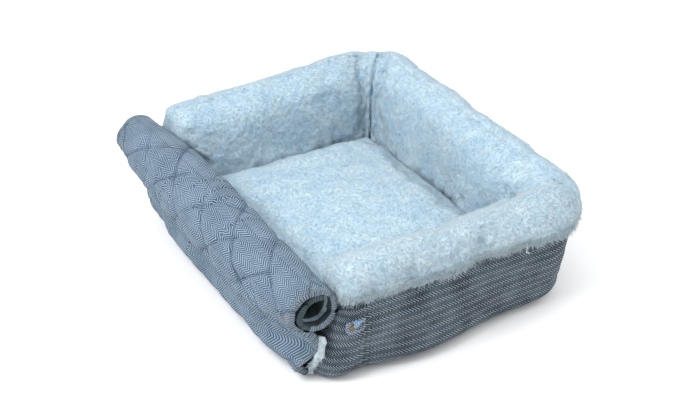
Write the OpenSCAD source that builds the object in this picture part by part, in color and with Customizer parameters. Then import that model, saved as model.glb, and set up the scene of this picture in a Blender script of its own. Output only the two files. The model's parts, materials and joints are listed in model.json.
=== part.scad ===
// Pet cushion bed: a low base with three stuffed walls, a loose seat cushion,
// and a quilted flap along the open left side that is stored rolled up.
// Origin: middle of the underside. +X is the right wall, -Y the front wall, +Z up.

/* [Base] */
// Width of the base, flap side to right wall
base_w = 500; // [460:10:640]
// Depth of the base, front to back
base_d = 626; // [560:2:760]
// Thickness of the cloth under the base
bottom_t = 2; // [1.5:0.5:3]
// Height of the top of the base filling
foam_top = 56; // [50:1:58]
// Distance from the base's left edge to the left ends of the walls
wall_inset = 54; // [54:1:80]

/* [Walls] */
// Height of the front wall
front_h = 200; // [190:1:240]
// Height of the right wall
right_h = 222; // [190:1:240]
// Height of the back wall
back_h = 213; // [190:1:240]
// Half thickness of the front wall
front_r = 42; // [34:1:46]
// Half thickness of the right wall
right_r = 41; // [34:1:46]
// Half thickness of the back wall
back_r = 43; // [34:1:46]
// How far the front wall leans outwards at the top
front_lean = 11; // [0:1:30]
// How far the right wall leans outwards at the top
right_lean = 24; // [0:1:30]
// How far the back wall leans outwards at the top
back_lean = 28; // [0:1:30]
// Height of the seam where the denim meets the plush
seam_h = 144; // [110:1:150]
// Thickness of the denim with its backing
denim_t = 2.5; // [1.5:0.5:3]
// Thickness of the plush cloth
plush_t = 4; // [3:0.5:5]

/* [Seat cushion] */
// Thickness of the seat cushion
seat_t = 25; // [20:1:40]
// Corner radius of the seat cushion
seat_corner = 24; // [10:1:40]

/* [Flap] */
// Width of the flap, along the open side
flap_w = 640; // [560:10:660]
// How far the flap's middle sits towards the back
flap_shift = 14; // [-20:1:20]
// Thickness of the quilted flap
flap_t = 6; // [4:0.5:6]
// Share of the flap's thickness that is plush
flap_plush_share = 0.4; // [0.3:0.05:0.6]
// Clear slot between neighbouring quilted panels
flap_slot = 1; // [0.8:0.1:1.5]

/* [Press studs] */
// Diameter of the domed caps
cap_d = 12.5; // [10:0.5:15]
// Length of each denim tab
tab_l = 34; // [28:1:40]
// Width of each denim tab
tab_w = 26; // [20:1:32]
// Height of the press studs above the floor
stud_h = 107; // [95:1:115]

/* [Hidden] */
gap = 0.3;
// Margin between neighbouring pieces, and the lap of shapes that are joined or cut.
margin = 1;
far = 900;
$fn = 48;
arc_step = 12;
corner_step = 10;
cap_step = 15;

// The flap's sewn lower part stands up as an apron; the rest hangs from its top edge,
// rolled up in panels that get shorter and turn more towards the middle of the roll.
apron_inset = 8;
apron_foot = 9;
apron_root = [-base_w / 2 + apron_inset, apron_foot];
apron_len = 72;
apron_dir = 112;
flap_fold = 20;
flap_n = 8;
roll_len = [65, 45];
roll_turn = [64, 76];
flap_y0 = flap_shift - flap_w / 2;
flap_y1 = flap_shift + flap_w / 2;
binding_l = 8;
// Panel that carries the flap's own press studs, and where on it they sit.
stud_panel = 1;
stud_along = 12;
stud_edge = 22;

// Box of the base filling between the walls, and of its strip under the roll.
base_inset = 14;
strip_inset = 51;
base_x0 = -base_w / 2 + base_inset;
wall_x0 = -base_w / 2 + wall_inset;
in_x1 = base_w / 2 - 2 * right_r - margin;
in_y0 = -(base_d / 2 - 2 * front_r - margin);
in_y1 = base_d / 2 - 2 * back_r - margin;
strip_y = base_d / 2 - strip_inset;
bottom_inset = 28;
bottom_corner = 30;
welt_gap = 5.1;
welt_x1 = base_x0 - welt_gap;
welt_w = 7.9;
welt_h = 6.5;
wall_stand = 0.5;
wall_z0 = bottom_t + wall_stand;
deck_t = 2;
deck_inset = 2;
seat_stand = 0.6;
seat_z0 = foam_top + gap + deck_t + seat_stand;
end_cap_t = 3;

// Sections are drawn as [outward, up]; each wall is a capsule leaning outwards.
front_a = [base_d / 2 - front_r, wall_z0 + front_r];
front_b = [front_a[0] + front_lean, front_h - front_r];
right_a = [base_w / 2 - right_r, wall_z0 + right_r];
right_b = [right_a[0] + right_lean, right_h - right_r];
back_a = [base_d / 2 - back_r, wall_z0 + back_r];
back_b = [back_a[0] + back_lean, back_h - back_r];

denim_blue = [0.38, 0.45, 0.53];
denim_dark = [0.25, 0.31, 0.38];
plush_blue = [0.70, 0.82, 0.90];
fill_white = [0.93, 0.93, 0.90];
cloth_grey = [0.30, 0.33, 0.37];
copper = [0.50, 0.33, 0.18];

// Two-digit names follow the panel order from the sewn edge to the free end.
function two(i) = i < 9 ? str("0", i + 1) : str(i + 1);

// ---------------------------------------------------------------- helpers

// Outline of a capsule of radius r around the line from a to b.
function capsule(a, b, r) =
    let (d = atan2(b[1] - a[1], b[0] - a[0]))
    concat(
        [for (t = [0 : arc_step : 180]) b + r * [cos(d - 90 + t), sin(d - 90 + t)]],
        [for (t = [0 : arc_step : 180]) a + r * [cos(d + 90 + t), sin(d + 90 + t)]]);

// Outline of a rectangle with round corners.
function round_rect(x0, x1, y0, y1, r) =
    [for (c = [[x1 - r, y1 - r, 0], [x0 + r, y1 - r, 90], [x0 + r, y0 + r, 180], [x1 - r, y0 + r, 270]])
        for (t = [0 : corner_step : 90]) [c[0] + r * cos(c[2] + t), c[1] + r * sin(c[2] + t)]];

module plate(x0, x1, y0, y1, z0, z1, r) {
    translate([0, 0, z0])
        linear_extrude(z1 - z0)
            polygon(round_rect(x0, x1, y0, y1, r));
}

module box(x0, x1, y0, y1, z0, z1) {
    translate([x0, y0, z0])
        cube([x1 - x0, y1 - y0, z1 - z0]);
}

// Runs a section along X, with its outward direction along +Y.
module run_section() {
    translate([-far / 2, 0, 0])
        rotate([90, 0, 90])
            linear_extrude(far)
                children();
}

// Turns a section that faces +Y to face the front or the right.
module facing(side) {
    rotate([0, 0, side == "front" ? 180 : side == "right" ? -90 : 0])
        children();
}

// Plan areas of the walls: mitred at the right corners, square at the open left side.
// The right wall stops level with the outer faces of the other two.
module wall_area(side, inset) {
    corner = (base_w - base_d) / 2;
    start = wall_x0 + (inset ? end_cap_t + gap : 0);
    reach = far / 2;
    y0 = base_d / 2 + front_lean;
    y1 = base_d / 2 + back_lean;
    front = [[start, -reach], [corner + reach - gap, -reach], [corner - gap, 0], [start, 0]];
    right = [[corner + gap, 0], [corner + y0 + gap, -y0], [reach, -y0], [reach, y1], [corner + y1 + gap, y1]];
    translate([0, 0, -margin])
        linear_extrude(front_h + right_h)
            polygon(side == "right" ? right
                  : side == "front" ? front
                  : [for (p = front) [p[0], -p[1]]]);
}

// The part of a section below the seam on the outer side.
module denim_zone(a) {
    translate([a[0], -margin])
        square([far / 4, seam_h + margin - gap / 2]);
}

// The rest of a section: over the top and down the inner side.
module plush_zone(a) {
    union() {
        translate([a[0] - far / 4, -margin])
            square([far / 4 - gap, far / 2]);
        translate([a[0] - margin, seam_h + gap / 2])
            square([far / 4, far / 4]);
    }
}

module wall_skin(side, a, b, r, t) {
    intersection() {
        facing(side)
            run_section()
                intersection() {
                    difference() {
                        polygon(capsule(a, b, r));
                        polygon(capsule(a, b, r - t));
                    }
                    children();
                }
        wall_area(side, true);
    }
}

module wall_filling(side, a, b, r) {
    color(fill_white)
        intersection() {
            facing(side)
                run_section()
                    polygon(capsule(a, b, r - plush_t - gap));
            wall_area(side, true);
        }
}

module denim_panel(side, a, b, r) {
    color(denim_blue)
        wall_skin(side, a, b, r, denim_t)
            denim_zone(a);
}

module plush_cover(side, a, b, r) {
    color(plush_blue)
        wall_skin(side, a, b, r, plush_t)
            plush_zone(a);
}

// Closes the left end of a wall.
module end_cap(side, a, b, r) {
    color(plush_blue)
        intersection() {
            facing(side)
                run_section()
                    polygon(capsule(a, b, r));
            box(wall_x0, wall_x0 + end_cap_t, -far / 2, far / 2, 0, far / 2);
        }
}

// ---------------------------------------------------------------- base

module base_bottom_cloth() {
    color(cloth_grey)
        plate(base_x0, base_w / 2 - bottom_inset, -base_d / 2 + bottom_inset, base_d / 2 - bottom_inset,
              0, bottom_t, bottom_corner);
}

module base_filling() {
    z0 = bottom_t + gap;
    color(fill_white)
        union() {
            box(wall_x0 - 2 * margin, in_x1, in_y0, in_y1, z0, foam_top);
            box(base_x0, wall_x0 - margin, -strip_y, strip_y, z0, foam_top);
        }
}

module base_deck_cloth() {
    z0 = foam_top + gap;
    color(plush_blue)
        box(base_x0 + deck_inset, in_x1, in_y0 + margin, in_y1 - margin, z0, z0 + deck_t);
}

module left_side_panel() {
    color(denim_dark)
        box(base_x0 - gap - denim_t, base_x0 - gap, -strip_y, strip_y, bottom_t + margin, foam_top);
}

// Folded seam allowance along the bottom left edge, where the flap is sewn on.
module flap_root_welt() {
    color(denim_dark)
        box(welt_x1 - welt_w, welt_x1, -strip_y, strip_y, 0, welt_h);
}

// ---------------------------------------------------------------- seat cushion

seat_gap = 3;
seat_x0 = wall_x0 + seat_gap + margin;
seat_x1 = in_x1 - seat_gap;
seat_y0 = in_y0 + seat_gap;
seat_y1 = in_y1 - seat_gap;
seat_skin_t = 1.5;

module seat_layer(z0, z1, inset) {
    plate(seat_x0 + inset, seat_x1 - inset, seat_y0 + inset, seat_y1 - inset,
          z0, z1, seat_corner - inset);
}

module seat_underside() {
    color(cloth_grey)
        seat_layer(seat_z0, seat_z0 + seat_skin_t, 0);
}

module seat_filling() {
    color(fill_white)
        seat_layer(seat_z0 + seat_skin_t + gap, seat_z0 + seat_t - plush_t - gap, plush_t + gap);
}

// Top and side band of the cover, open below.
module seat_plush_top() {
    z0 = seat_z0 + seat_skin_t + gap;
    color(plush_blue)
        difference() {
            seat_layer(z0, seat_z0 + seat_t, 0);
            seat_layer(z0 - margin, seat_z0 + seat_t - plush_t, plush_t);
        }
}

// ---------------------------------------------------------------- press studs and tabs

tab_inset = 24;
tab_x = wall_x0 + tab_inset;
tab_stand = 2.6;
tab_t = 2.4;
tab_fold_gap = 0.5;
snap_in = 22;
cap_t = 2.2;
cap_rim = 0.35 * cap_t;
post_d = 3;
post_gap = 0.1;
post_lap = 0.05;
knob_d = 3.6;
knob_gap = 0.6;
knob_h = 1.7;
knob_disc_d = 9;
knob_disc_t = 0.8;
knob_stand = 0.2;

// Height along a wall's outer face that brings a point to the press studs' height.
function lean_of(a, b) = atan2(b[0] - a[0], b[1] - a[1]);
function face_u(a, b, r) =
    a[0] + (stud_h - a[1] + r * sin(lean_of(a, b))) * tan(lean_of(a, b)) + r * cos(lean_of(a, b));

// Puts its children on the outer face: X along the wall, Y up the face, Z outwards.
module on_face(side, a, b, r) {
    mirror([0, side == "back" ? 1 : 0, 0])
        translate([tab_x, -face_u(a, b, r), stud_h])
            rotate([90 + lean_of(a, b), 0, 0])
                children();
}

module domed_cap() {
    dome = [for (t = [0 : cap_step : 90]) [cap_d / 2 * cos(t), cap_rim + (cap_t - cap_rim) * sin(t)]];
    rotate_extrude()
        polygon(concat([[0, 0]], dome, [[0, cap_t]]));
}

// Male half, riveted to the wall.
module stud() {
    color(copper)
        translate([-snap_in, 0, knob_stand])
            union() {
                cylinder(d = knob_disc_d, h = knob_disc_t);
                cylinder(d = knob_d, h = knob_h);
            }
}

module tab() {
    color(denim_blue)
        difference() {
            translate([-tab_l, -tab_w / 2, tab_stand])
                cube([tab_l - tab_fold_gap, tab_w, tab_t]);
            translate([-snap_in, 0, 0])
                cylinder(d = post_d + post_gap, h = far);
        }
}

// Female half: domed cap outside, post through the tab, and a blind ring over the knob.
module snap_cap() {
    ring_h = 1.3;
    web_t = 0.4;
    color(copper)
        translate([-snap_in, 0, 0])
            union() {
                translate([0, 0, tab_stand + tab_t])
                    domed_cap();
                translate([0, 0, tab_stand - post_lap])
                    cylinder(d = post_d, h = tab_t + 2 * post_lap);
                translate([0, 0, tab_stand - ring_h])
                    difference() {
                        cylinder(d = knob_disc_d, h = ring_h);
                        translate([0, 0, -web_t])
                            cylinder(d = knob_d + knob_gap, h = ring_h);
                    }
            }
}

// ---------------------------------------------------------------- flap

function mix(range, s) = range[0] + (range[1] - range[0]) * s;

function along(dir) = [cos(dir), sin(dir)];

// Towards the denim side of a panel that runs in direction dir.
function outward(dir) = [-sin(dir), cos(dir)];

function panel_len(i) = mix(roll_len, i / (flap_n - 1));

function panel_dir(i) =
    i == 0 ? apron_dir + flap_fold
           : panel_dir(i - 1) - mix(roll_turn, (i - 1) / (flap_n - 2));

// The first panel folds outwards about the denim face of the apron's top edge.
fold_pivot = apron_root + apron_len * along(apron_dir) + flap_t * outward(apron_dir);

// The others bend about their plush face.
function pivot(i) =
    i == 0 ? fold_pivot - flap_t * outward(panel_dir(0))
           : pivot(i - 1) + panel_len(i - 1) * along(panel_dir(i - 1));

// Puts its children on a panel: X along the panel, Y along the bed, Z to the denim side.
module on_line(start, dir) {
    translate([start[0], 0, start[1]])
        rotate([0, -dir, 0])
            children();
}

module on_panel(i) {
    on_line(pivot(i), panel_dir(i))
        children();
}

// One layer of the apron, from z0 to z1 through its thickness.
module apron_layer(z0, z1) {
    on_line(apron_root, apron_dir)
        translate([0, flap_y0, z0])
            cube([apron_len - flap_slot / 2, flap_w, z1 - z0]);
}

module apron_denim() {
    color(denim_blue)
        apron_layer(flap_t * flap_plush_share, flap_t);
}

module apron_plush() {
    color(plush_blue)
        apron_layer(0, flap_t * flap_plush_share);
}

// One layer of panel i, from z0 to z1 through its thickness.
module flap_layer(i, z0, z1) {
    start = flap_slot / 2;
    end = panel_len(i) - flap_slot / 2 - (i == flap_n - 1 ? binding_l : 0);
    on_panel(i)
        difference() {
            translate([start, flap_y0, z0])
                cube([end - start, flap_w, z1 - z0]);
            if (i == stud_panel)
                for (y = [flap_y0 + stud_edge, flap_y1 - stud_edge])
                    translate([stud_along, y, -far / 2])
                        cylinder(d = post_d + post_gap, h = far);
        }
}

module flap_denim(i) {
    color(denim_blue)
        flap_layer(i, flap_t * flap_plush_share, flap_t);
}

module flap_plush(i) {
    color(plush_blue)
        flap_layer(i, 0, flap_t * flap_plush_share);
}

// Folded binding along the flap's free end.
module flap_end_binding() {
    last = flap_n - 1;
    color(denim_dark)
        on_panel(last)
            translate([panel_len(last) - binding_l, flap_y0, 0])
                cube([binding_l, flap_w, flap_t]);
}

module flap_snap(y) {
    color(copper)
        on_panel(stud_panel)
            translate([stud_along, y, 0])
                union() {
                    translate([0, 0, flap_t])
                        domed_cap();
                    translate([0, 0, -post_lap])
                        cylinder(d = post_d, h = flap_t + 2 * post_lap);
                    translate([0, 0, -knob_disc_t])
                        cylinder(d = knob_disc_d, h = knob_disc_t);
                }
}

// ---------------------------------------------------------------- nodes

base_bottom_cloth();
base_filling();
base_deck_cloth();
left_side_panel();
flap_root_welt();
denim_panel("front", front_a, front_b, front_r);  // front_denim_panel
denim_panel("right", right_a, right_b, right_r);  // right_denim_panel
denim_panel("back", back_a, back_b, back_r);  // back_denim_panel
plush_cover("front", front_a, front_b, front_r);  // front_plush_cover
plush_cover("right", right_a, right_b, right_r);  // right_plush_cover
plush_cover("back", back_a, back_b, back_r);  // back_plush_cover
wall_filling("front", front_a, front_b, front_r);  // front_wall_filling
wall_filling("right", right_a, right_b, right_r);  // right_wall_filling
wall_filling("back", back_a, back_b, back_r);  // back_wall_filling
end_cap("front", front_a, front_b, front_r);  // front_end_cap
end_cap("back", back_a, back_b, back_r);  // back_end_cap
on_face("front", front_a, front_b, front_r) stud();  // front_stud
on_face("back", back_a, back_b, back_r) stud();  // back_stud
on_face("front", front_a, front_b, front_r) tab();  // front_tab
on_face("back", back_a, back_b, back_r) tab();  // back_tab
on_face("front", front_a, front_b, front_r) snap_cap();  // front_snap_cap
on_face("back", back_a, back_b, back_r) snap_cap();  // back_snap_cap
seat_plush_top();
seat_filling();
seat_underside();
apron_denim();
apron_plush();
flap_snap(flap_y0 + stud_edge);  // flap_front_snap
flap_snap(flap_y1 - stud_edge);  // flap_back_snap
flap_end_binding();
for (i = [0 : flap_n - 1]) {
    flap_denim(i);
    flap_plush(i);
}
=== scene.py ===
"""Pet cushion bed: plush walls and seat, denim outside, quilted flap rolled up on the open side.

Everything is in metres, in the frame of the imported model: +X right wall, -Y front wall, +Z up.
"""
import json
import math

import bpy
import numpy as np
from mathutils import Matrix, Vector
from mathutils.kdtree import KDTree


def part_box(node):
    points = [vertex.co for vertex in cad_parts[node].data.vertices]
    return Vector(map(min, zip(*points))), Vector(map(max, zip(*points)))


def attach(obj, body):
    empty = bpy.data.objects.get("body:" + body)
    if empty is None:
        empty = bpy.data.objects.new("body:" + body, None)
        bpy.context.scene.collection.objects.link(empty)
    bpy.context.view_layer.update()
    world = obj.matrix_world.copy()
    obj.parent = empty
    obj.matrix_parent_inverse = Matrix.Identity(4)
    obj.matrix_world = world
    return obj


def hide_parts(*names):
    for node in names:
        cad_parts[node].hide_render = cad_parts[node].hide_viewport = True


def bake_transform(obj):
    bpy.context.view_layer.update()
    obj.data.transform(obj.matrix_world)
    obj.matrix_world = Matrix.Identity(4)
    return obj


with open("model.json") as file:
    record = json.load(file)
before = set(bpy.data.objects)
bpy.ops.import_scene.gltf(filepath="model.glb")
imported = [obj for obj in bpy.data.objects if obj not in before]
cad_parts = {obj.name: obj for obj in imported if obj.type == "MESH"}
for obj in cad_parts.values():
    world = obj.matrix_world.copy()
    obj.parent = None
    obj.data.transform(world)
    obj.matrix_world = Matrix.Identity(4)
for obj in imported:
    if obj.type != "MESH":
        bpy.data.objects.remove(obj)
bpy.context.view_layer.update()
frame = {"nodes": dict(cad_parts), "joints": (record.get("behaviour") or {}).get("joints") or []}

FLOOR_Z = -0.0006      # the studio floor lies just under the bed
REST_Z = 0.0003        # lowest that cloth reaches
DENIM_T = 0.0016       # thickness of the denim

# ---------------- noise and small maths


def smooth(x, low, high):
    """Smooth step from 0 at low to 1 at high."""
    t = np.clip((x - low) / (high - low), 0, 1)
    return t * t * (3 - 2 * t)


def bump(x, width):
    """Bell that is 1 at 0 and falls off over width."""
    return np.exp(-((x / width) ** 2))


def hashed(ix, iy, iz, seed):
    """Repeatable numbers from -1 to 1 at whole lattice points."""
    n = (ix * 73856093) ^ (iy * 19349663) ^ (iz * 83492791) ^ (seed * 2654435761)
    n = n & 0xFFFFFFFF
    n = ((n ^ (n >> 15)) * 2246822519) & 0xFFFFFFFF
    n = ((n ^ (n >> 13)) * 3266489917) & 0xFFFFFFFF
    return ((n ^ (n >> 16)) & 0xFFFF) / 32767.5 - 1.0


def noise(points, cell, seed):
    """Smooth noise from about -1 to 1, with features of about cell metres."""
    q = np.asarray(points, float) / cell
    base = np.floor(q).astype(np.int64)
    f = q - base
    f = f * f * (3 - 2 * f)
    total = np.zeros(q.shape[:-1])
    for step in np.ndindex(2, 2, 2):
        wx, wy, wz = (f[..., k] if step[k] else 1 - f[..., k] for k in range(3))
        total += wx * wy * wz * hashed(*(base[..., k] + step[k] for k in range(3)), seed)
    return total


def unit(v):
    return v / np.maximum(np.linalg.norm(v, axis=-1, keepdims=True), 1e-12)


def points(x, y, z):
    """One array of points from coordinates that broadcast together."""
    return np.stack(np.broadcast_arrays(x, y, z), -1)


def sweeps(first, second):
    """Two grids: one changes from row to row, the other from column to column."""
    return np.meshgrid(first, second, indexing="ij")


def read(items, what, kind=float):
    """What every vertex or triangle of a mesh holds, in threes."""
    values = np.zeros(len(items) * 3, kind)
    items.foreach_get(what, values)
    return values.reshape(-1, 3)


def search_tree(places):
    tree = KDTree(len(places))
    for k, place in enumerate(places):
        tree.insert(place, k)
    tree.balance()
    return tree


def heading(angle):
    """Unit direction at an angle from the first axis, in radians."""
    return np.stack([np.cos(angle), np.sin(angle)], -1)


def grid_normals(grid, middles, wrap_cols=False):
    """Unit normals of a grid of points (rows, columns, 3), turned away from each row's middle."""
    across = np.roll(grid, -1, 1) - np.roll(grid, 1, 1) if wrap_cols else np.gradient(grid, axis=1)
    normals = unit(np.cross(np.gradient(grid, axis=0), across))
    facing = np.einsum("ijk,ijk->ij", normals, grid - middles[:, None, :])
    return normals * (1.0 if np.median(facing) > 0 else -1.0)


# ---------------- mesh building


def make_mesh(name, verts, faces, material, weave=None, smooth_shade=True):
    """A mesh object from arrays. weave gives each vertex its place on the flat cloth."""
    mesh = bpy.data.meshes.new(name)
    mesh.from_pydata([tuple(v) for v in verts], [], faces)
    mesh.update()
    if smooth_shade:
        mesh.polygons.foreach_set("use_smooth", [True] * len(mesh.polygons))
    if weave is not None:
        layer = mesh.attributes.new("cloth_place", "FLOAT_VECTOR", "POINT")
        layer.data.foreach_set("vector", np.asarray(weave, np.float32).ravel())
    obj = bpy.data.objects.new(name, mesh)
    bpy.context.scene.collection.objects.link(obj)
    mesh.materials.append(material)
    return obj


def quads(rows, cols, wrap_cols=False, start=0, flip=False):
    """Faces of a grid whose points are numbered row by row from start."""
    r0, c0 = sweeps(np.arange(rows - 1), np.arange(cols if wrap_cols else cols - 1))
    r1, c1 = r0 + 1, (c0 + 1) % cols
    faces = np.stack([r0 * cols + c0, r1 * cols + c0, r1 * cols + c1, r0 * cols + c1], -1)
    faces = faces.reshape(-1, 4) + start
    return (faces[:, ::-1] if flip else faces).tolist()


def slab_faces(rows, cols):
    """Faces of a closed piece between two grids: its top, its underside and the rim between them."""
    n = rows * cols
    index = np.arange(n).reshape(rows, cols)
    rim = np.concatenate([index[0, :], index[1:, -1], index[-1, -2::-1], index[-2:0:-1, 0]])
    faces = quads(rows, cols) + quads(rows, cols, start=n, flip=True)
    return faces + [[int(a), int(b), int(b) + n, int(a) + n] for a, b in zip(rim, np.roll(rim, -1))]


def fix_outward(obj):
    """Turns the faces of a closed mesh outwards, from the sign of its volume."""
    mesh = obj.data
    mesh.calc_loop_triangles()
    corners = read(mesh.loop_triangles, "vertices", np.int32)
    a, b, c = (read(mesh.vertices, "co")[corners[:, k]] for k in range(3))
    if np.einsum("ij,ij->i", a, np.cross(b, c)).sum() < 0:
        mesh.flip_normals()


def slab(name, top, bottom, material, weave=None):
    """Closed piece between two grids of the same shape."""
    verts = np.concatenate([top.reshape(-1, 3), bottom.reshape(-1, 3)])
    if weave is not None:
        weave = np.concatenate([weave.reshape(-1, 3)] * 2)
    piece = make_mesh(name, verts, slab_faces(*top.shape[:2]), material, weave)
    fix_outward(piece)
    return piece


def tube(name, rings, material):
    """Closed piece from rings of points (stations, around, 3), shut by a fan at each end."""
    stations, around = rings.shape[:2]
    faces = quads(stations, around, wrap_cols=True)
    a = stations * around
    tail = a - around
    for k in range(around):
        j = (k + 1) % around
        faces += [[a, k, j], [a + 1, tail + j, tail + k]]
    verts = np.concatenate([rings.reshape(-1, 3), [rings[0].mean(0), rings[-1].mean(0)]])
    piece = make_mesh(name, verts, faces, material)
    fix_outward(piece)
    return piece


def settle(piece, body, slot, *nodes):
    """Puts a piece on its body and hides the CAD nodes that it replaces. Its slot is not used."""
    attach(piece, body)
    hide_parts(*nodes)


VOXEL = 0.006          # edge of the voxels that a cover is simulated with
SWELL_FRAMES = 20
STUFFING = {"quality": 6, "mass": 0.3, "tension_stiffness": 12, "compression_stiffness": 12,
            "bending_stiffness": 0.4, "use_pressure": True, "uniform_pressure_force": 4.0}


def inflate(verts, faces, held, growth, cap, smaller):
    """Cloth simulation of a stuffed cover: where each given point ends up, less where it was.

    A coarse copy of the cover starts a little smaller, is held where held says so (a function of
    points), grows by a share of slack and is blown up. Its movement, capped, is what comes back."""
    scene = bpy.context.scene
    plain = bpy.data.materials.new("plain")
    cover = make_mesh("cover_for_simulation", verts, faces, plain, smooth_shade=False)
    fix_outward(cover)
    remesh = cover.modifiers.new("remesh", "REMESH")
    remesh.mode, remesh.voxel_size = "VOXEL", VOXEL
    whole = bpy.data.meshes.new_from_object(cover.evaluated_get(bpy.context.evaluated_depsgraph_get()))
    cover.modifiers.clear()
    cover.data = whole
    start, normal = read(whole.vertices, "co"), read(whole.vertices, "normal")
    pinned = held(start)
    first = start - normal * smaller * (~pinned)[:, None]
    whole.vertices.foreach_set("co", first.ravel())
    group = cover.vertex_groups.new(name="held")
    group.add([int(k) for k in np.nonzero(pinned)[0]], 1.0, "REPLACE")
    cloth = cover.modifiers.new("cloth", "CLOTH")
    for name, value in STUFFING.items():
        setattr(cloth.settings, name, value)
    cloth.settings.shrink_min = -growth
    cloth.settings.vertex_group_mass = "held"
    cloth.settings.effector_weights.gravity = 0
    cloth.collision_settings.use_collision = False
    cloth.point_cache.frame_start, cloth.point_cache.frame_end = 1, SWELL_FRAMES
    for step in range(1, SWELL_FRAMES + 1):
        scene.frame_set(step)
    settled = cover.evaluated_get(bpy.context.evaluated_depsgraph_get())
    moved = read(settled.data.vertices, "co") - start
    scene.frame_set(1)
    bpy.data.objects.remove(cover)
    far = np.linalg.norm(moved, axis=1, keepdims=True)
    moved = moved * np.minimum(1, cap / np.maximum(far, 1e-9))
    tree = search_tree(start)
    result = np.zeros_like(verts)
    for k, point in enumerate(verts):
        near = tree.find_n(point, 5)
        weight = np.array([1 / (n[2] + VOXEL / 4) for n in near])
        result[k] = (weight[:, None] * moved[[n[1] for n in near]]).sum(0) / weight.sum()
    return result


def tufts(name, roots, leans, lengths, widths, material, seed):
    """Small tapered locks of pile, each a closed three-sided spike with a bent tip."""
    rng = np.random.default_rng(seed)
    n = len(roots)
    leans = unit(leans)
    spare = rng.normal(size=(n, 3))
    side = unit(np.cross(leans, spare))
    other = np.cross(leans, side)
    foot = roots - leans * (lengths * 0.25)[:, None]
    ring = []
    for k in range(3):
        a = 2 * math.pi * k / 3
        ring.append(foot + (side * math.cos(a) + other * math.sin(a)) * (widths / 2)[:, None])
    tip = roots + leans * lengths[:, None] + side * (lengths * rng.uniform(-0.25, 0.25, n))[:, None]
    verts = np.stack([*ring, tip], 1).reshape(-1, 3)
    base = (np.arange(n) * 4)[:, None]
    shape = np.array([[0, 1, 3], [1, 2, 3], [2, 0, 3], [2, 1, 0]])
    faces = (base[:, :, None] + shape[None]).reshape(-1, 3).tolist()
    return make_mesh(name, verts, faces, material)


# ---------------- materials


def new_material(name):
    mat = bpy.data.materials.new(name)
    mat.use_nodes = True
    tree = mat.node_tree
    return mat, tree, tree.nodes["Principled BSDF"]


def feed(tree, source, node, socket):
    """Links a (node, output) pair to an input of node."""
    tree.links.new(source[0].outputs[source[1]], node.inputs[socket])


def set_inputs(node, values):
    for socket, value in values.items():
        node.inputs[socket].default_value = value


def math_node(tree, op, a, b=None, c=None):
    """Math node whose inputs are numbers or (node, output) pairs."""
    node = tree.nodes.new("ShaderNodeMath")
    node.operation = op
    for k, v in enumerate((a, b, c)):
        if isinstance(v, tuple):
            feed(tree, v, node, k)
        elif v is not None:
            node.inputs[k].default_value = v
    return (node, 0)


def noise_node(tree, scale, detail, rough):
    """Noise texture in metres: scale is features per metre."""
    place = tree.nodes.new("ShaderNodeTexCoord")
    tex = tree.nodes.new("ShaderNodeTexNoise")
    set_inputs(tex, {"Scale": scale, "Detail": detail, "Roughness": rough})
    feed(tree, (place, "Object"), tex, "Vector")
    return (tex, "Fac")


def ramp(tree, source, stops):
    node = tree.nodes.new("ShaderNodeValToRGB")
    feed(tree, source, node, "Fac")
    els = node.color_ramp.elements
    els[0].position, els[0].color = stops[0][0], (*stops[0][1], 1)
    els[1].position, els[1].color = stops[-1][0], (*stops[-1][1], 1)
    for pos, col in stops[1:-1]:
        els.new(pos).color = (*col, 1)
    return (node, "Color")


def mix_colour(tree, fac, a, b, blend="MIX"):
    node = tree.nodes.new("ShaderNodeMix")
    node.data_type = "RGBA"
    node.blend_type = blend
    node.inputs[0].default_value = fac
    for socket, source in ((6, a), (7, b)):
        feed(tree, source, node, socket)
    return (node, 2)


def add_bump(tree, bsdf, height, strength, distance):
    node = tree.nodes.new("ShaderNodeBump")
    set_inputs(node, {"Strength": strength, "Distance": distance})
    feed(tree, height, node, "Height")
    feed(tree, (node, "Normal"), bsdf, "Normal")


def plush_material(name, blue, mid, pale):
    """Short pile: soft blotches of blue and near-white where it is brushed this way and that."""
    mat, tree, bsdf = new_material(name)
    brushed = noise_node(tree, 32.0, 5.0, 0.62)
    locks = noise_node(tree, 240.0, 4.0, 0.70)
    fibres = noise_node(tree, 1100.0, 2.0, 0.7)
    tone = ramp(tree, brushed, [(0.31, blue), (0.50, mid), (0.68, pale)])
    shade = ramp(tree, locks, [(0.34, blue), (0.50, mid), (0.66, pale)])
    colour = mix_colour(tree, 0.34, tone, shade)
    feed(tree, colour, bsdf, "Base Color")
    set_inputs(bsdf, {"Roughness": 0.95, "Specular IOR Level": 0.05, "Sheen Weight": 0.2,
                      "Sheen Roughness": 0.5, "Sheen Tint": (0.90, 0.96, 1.0, 1)})
    height = math_node(tree, "MULTIPLY_ADD", fibres, 0.5, locks)
    add_bump(tree, bsdf, height, 0.5, 0.0014)
    return mat


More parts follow.
